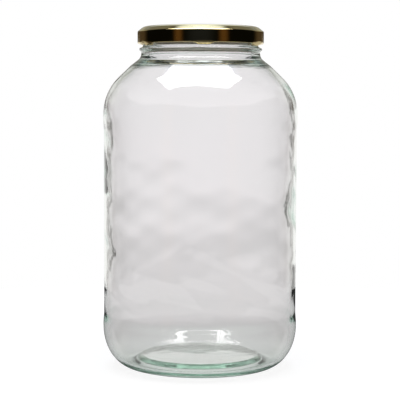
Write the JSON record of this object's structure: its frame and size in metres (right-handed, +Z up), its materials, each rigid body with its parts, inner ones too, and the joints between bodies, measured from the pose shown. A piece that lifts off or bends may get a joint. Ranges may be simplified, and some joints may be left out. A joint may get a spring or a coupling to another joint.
{
  "type": "preserving jar",
  "caption": "Large clear glass preserving jar with rounded shoulders, a wide mouth and a gold twist-off lid.",
  "frame": {"origin": "centre of the ring that the jar stands on, at table height", "axes": "+Z up along the jar's axis, -Y the front shown in the picture"},
  "size_m": [0.1602, 0.1602, 0.2805],
  "materials": {
    "glass": "clear, smooth, faint green at the thick edges",
    "gold_lacquer": "gloss gold lacquer on tinplate"
  },
  "bodies": {
    "root": {"jar": "glass", "lid": "gold_lacquer"}
  },
  "joints": []
}
